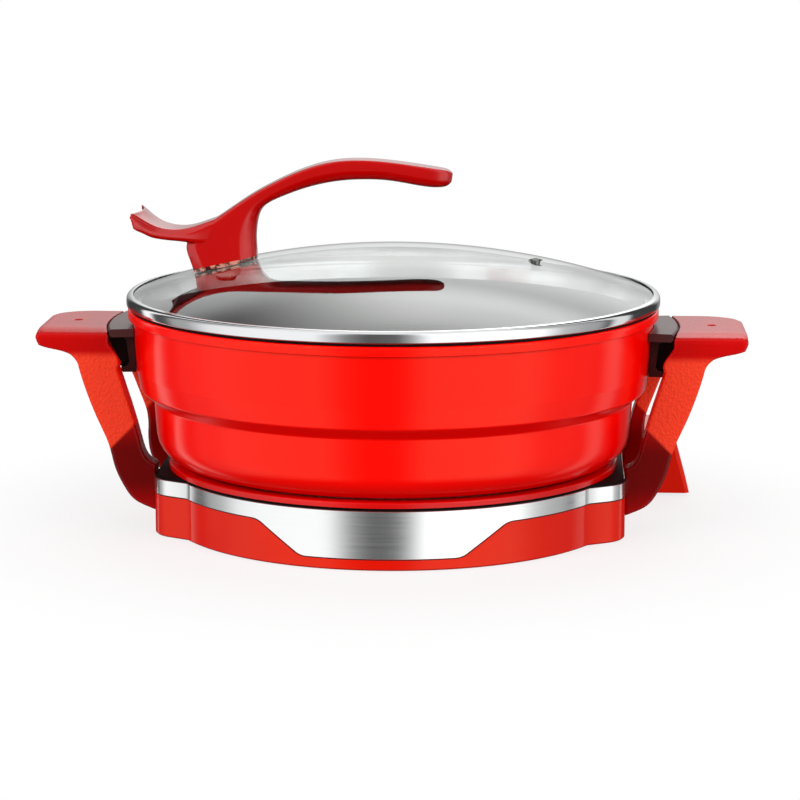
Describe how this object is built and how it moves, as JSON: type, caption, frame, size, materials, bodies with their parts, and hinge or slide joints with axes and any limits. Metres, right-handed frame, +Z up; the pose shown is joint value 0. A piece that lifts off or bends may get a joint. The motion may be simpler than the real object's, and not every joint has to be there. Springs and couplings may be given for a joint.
{
  "type": "electric hot pot",
  "caption": "Electric hot pot: heated base with two carrying yokes and a steel fascia, lift-off stepped pot with ears, and a glass lid with a goose-neck handle.",
  "frame": {"origin": "on the pot's axis at the height of the table under the feet", "axes": "+Z up, -Y towards the middle of the steel fascia, +X towards the yoke beside the control box"},
  "size_m": [0.395, 0.3, 0.2046],
  "materials": {
    "red_pot": "glossy red enamel over cast aluminium",
    "red_plastic": "glossy red moulding",
    "red_ring": "red heat-resistant ring, satin",
    "handle_red": "glossy red moulding",
    "ear_brown": "dark heat-resistant moulding, satin",
    "fascia_steel": "brushed",
    "deck_black": "matte black moulding",
    "plate_metal": "turned casting",
    "element_steel": "sheathed tube",
    "pan_steel": "pressed sheet",
    "inner_steel": "plain",
    "sensor_metal": "spun cap",
    "ceramic_white": "glazed insulator",
    "cover_black": "textured moulding",
    "screw_steel": "zinc plated",
    "foot_rubber": "soft rubber",
    "control_black": "textured moulding",
    "lamp": "translucent red lens",
    "blade_brass": "nickel-washed",
    "disc_steel": "ground",
    "clear_glass": "tempered glass, clear",
    "rim_steel": "polished roll",
    "seal_black": "silicone",
    "pad_silicone": "silicone"
  },
  "bodies": {
    "base": {"base_housing": "red_plastic", "fascia_band": "fascia_steel", "top_deck": "deck_black", "support_ring": "red_ring", "heating_plate": "plate_metal", "heating_element": "element_steel", "reflector_pan": "pan_steel", "sensor_guide": "inner_steel", "sensor_spring": "inner_steel", "thermal_fuse": "ceramic_white", "terminal_block": "ceramic_white", "bottom_cover": "cover_black", "cover_screws": "screw_steel", "rubber_feet": "foot_rubber", "right_yoke": "red_plastic", "left_yoke": "red_plastic", "yoke_screws": "screw_steel", "control_box": "red_plastic", "box_cover": "cover_black", "box_screws": "screw_steel", "thermostat_switch": "ceramic_white", "indicator_lens": "lamp", "power_inlet": "control_black", "inlet_blades": "blade_brass"},
    "sensor": {"sensor_button": "sensor_metal"},
    "dial": {"thermostat_knob": "control_black", "knob_shaft": "inner_steel"},
    "pot": {"pot_body": "red_pot", "pot_disc": "disc_steel", "right_ear": "ear_brown", "left_ear": "ear_brown", "ear_screws": "screw_steel"},
    "lid": {"lid_glass": "clear_glass", "lid_rim": "rim_steel", "lid_seal": "seal_black", "steam_vent": "rim_steel", "lid_handle": "handle_red", "handle_pads": "pad_silicone", "handle_screw": "screw_steel"}
  },
  "joints": [
    {"name": "pot_lift", "type": "slide", "parent": "base", "child": "pot", "axis": [0, 0, 1], "range_m": [0, 0.1]},
    {"name": "lid_lift", "type": "slide", "parent": "pot", "child": "lid", "axis": [0, 0, 1], "range_m": [0, 0.06]},
    {"name": "dial_turn", "type": "hinge", "parent": "base", "child": "dial", "pos_m": [0.108, 0.118, 0.021], "axis": [0, -1, 0], "range_deg": [0, 270]},
    {"name": "sensor_press", "type": "slide", "parent": "base", "child": "sensor", "axis": [0, 0, -1], "range_m": [0, 0.002], "stiffness_N_per_m": 400, "springref_m": -0.003, "deforming": ["sensor_spring"]}
  ]
}
